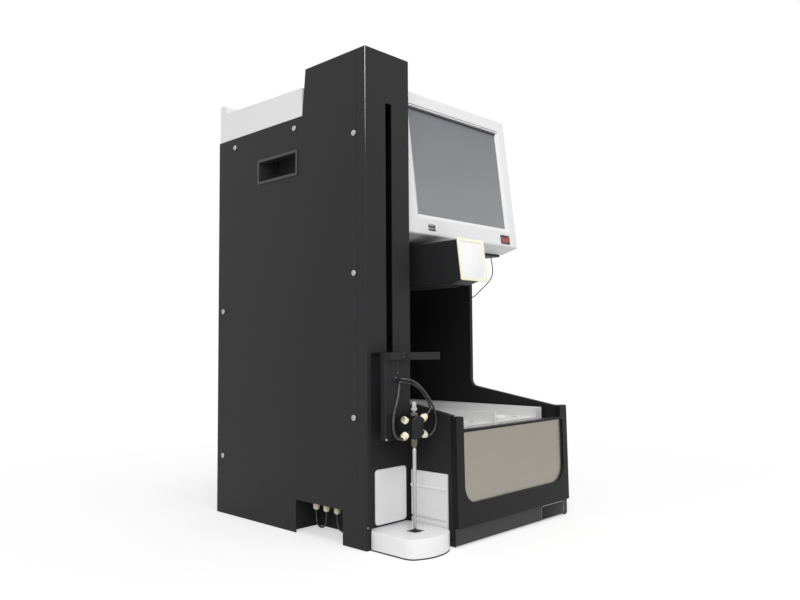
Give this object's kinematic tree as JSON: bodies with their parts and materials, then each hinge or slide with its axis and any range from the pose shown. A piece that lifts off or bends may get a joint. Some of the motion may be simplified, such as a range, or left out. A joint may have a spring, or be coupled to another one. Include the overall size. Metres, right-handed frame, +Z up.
{
  "type": "flash chromatography system",
  "caption": "Bench-top flash chromatography system: column lift with multi-port valve, travelling fraction collector over lift-out racks, leaning display and bottle tray.",
  "frame": {"origin": "on the bench under the middle of the instrument's box", "axes": "+Z up, +Y to the rear, +X to the right seen from the front"},
  "size_m": [0.3624, 0.434, 0.667],
  "materials": {
    "black_powder": "fine textured powder coat",
    "frame_black": "satin powder coat",
    "kick_grey": "fine textured powder coat",
    "white_moulding": "fine grained moulding",
    "splash_white": "smooth moulding",
    "rack_white": "smooth moulding",
    "ivory": "smooth moulding",
    "pale_ivory": "smooth moulding",
    "inset_white": "plain sheet",
    "stainless": "brushed along its length",
    "bright_steel": "polished",
    "zinc_steel": "plain zinc",
    "aluminium": "anodised",
    "screen_glass": "coated, dark when off",
    "black_plastic": "fine grained moulding",
    "valve_black": "machined polymer",
    "red_plastic": "smooth moulding",
    "clear_plastic": "clear moulding",
    "hose_black": "smooth extrusion",
    "feet_rubber": "moulded",
    "board_green": "printed board"
  },
  "bodies": {
    "chassis": {"base_pan": "black_powder", "rubber_feet": "feet_rubber", "left_side_panel": "black_powder", "right_side_panel": "black_powder", "tower_cover": "black_powder", "rear_panel": "black_powder", "top_cover": "white_moulding", "display_housing": "white_moulding", "touch_screen": "screen_glass", "usb_ports": "zinc_steel", "rocker_frame": "black_plastic", "bay_ceiling": "black_powder", "bay_liner": "black_powder", "bay_left_cheek": "black_powder", "front_frame": "frame_black", "stainless_insert": "stainless", "kick_panel": "kick_grey", "column_bay_liner": "black_powder", "rear_splash_panel": "splash_white", "side_splash_panel": "splash_white", "left_handle_cup": "black_plastic", "right_handle_cup": "black_plastic", "bulkhead_fittings": "ivory", "bulkhead_tubes": "hose_black", "display_lead": "hose_black", "lift_rail": "zinc_steel", "lift_motor": "black_plastic", "collector_rail": "aluminium", "collector_motor": "black_plastic", "fan_frame": "black_plastic", "fan_guard": "zinc_steel", "power_inlet": "black_plastic", "power_supply": "zinc_steel", "pump_modules": "zinc_steel", "detector_module": "aluminium", "control_board": "board_green"},
    "carriage": {"carriage_plate": "black_powder", "carriage_slider": "aluminium", "carriage_bar": "black_powder", "valve_body": "valve_black", "valve_stator": "valve_black", "port_nuts": "ivory", "luer_fitting": "clear_plastic", "luer_barrel": "clear_plastic", "drain_needle": "bright_steel", "valve_hoses": "hose_black"},
    "column_arm": {"column_arm": "black_powder"},
    "lift_screw": {"lift_screw": "bright_steel"},
    "collector_arm": {"collector_arm": "black_powder", "arm_end_cover": "pale_ivory", "arm_inset_panel": "inset_white"},
    "drop_head": {"drop_head": "black_plastic"},
    "power_rocker": {"power_rocker": "red_plastic"},
    "left_rack": {"left_rack": "rack_white"},
    "right_rack": {"right_rack": "rack_white"},
    "drip_tray": {"drip_tray": "splash_white"},
    "fan_rotor": {"fan_rotor": "black_plastic"}
  },
  "joints": [
    {"name": "carriage_lift", "type": "slide", "parent": "chassis", "child": "carriage", "axis": [0, 0, 1], "range_m": [0, 0.33]},
    {"name": "screw_turn", "type": "hinge", "parent": "chassis", "child": "lift_screw", "pos_m": [-0.136, -0.091, 0.3], "axis": [0, 0, 1], "range_deg": [-11881, 0]},
    {"name": "column_swing", "type": "hinge", "parent": "carriage", "child": "column_arm", "pos_m": [-0.1298, -0.1573, 0.255], "axis": [0, 0, 1], "range_deg": [-60, 30]},
    {"name": "collector_travel", "type": "slide", "parent": "chassis", "child": "collector_arm", "axis": [1, 0, 0], "range_m": [-0.01, 0.165]},
    {"name": "head_travel", "type": "slide", "parent": "collector_arm", "child": "drop_head", "axis": [0, 1, 0], "range_m": [-0.185, 0.03]},
    {"name": "rocker_tilt", "type": "hinge", "parent": "chassis", "child": "power_rocker", "pos_m": [0.1465, -0.11916, 0.43643], "axis": [0, 0.1219, 0.9925], "range_deg": [0, 14]},
    {"name": "left_rack_lift", "type": "slide", "parent": "chassis", "child": "left_rack", "axis": [0, 0, 1], "range_m": [0, 0.12]},
    {"name": "right_rack_lift", "type": "slide", "parent": "chassis", "child": "right_rack", "axis": [0, 0, 1], "range_m": [0, 0.12]},
    {"name": "drip_tray_slide", "type": "slide", "parent": "chassis", "child": "drip_tray", "axis": [0, -1, 0], "range_m": [0, 0.08]},
    {"name": "fan_spin", "type": "hinge", "parent": "chassis", "child": "fan_rotor", "pos_m": [0.075, 0.2004, 0.5], "axis": [0, 1, 0], "continuous": true}
  ],
  "couplings": [
    {"joint": "screw_turn", "follows": "carriage_lift", "rad_per_m": -628.32}
  ]
}
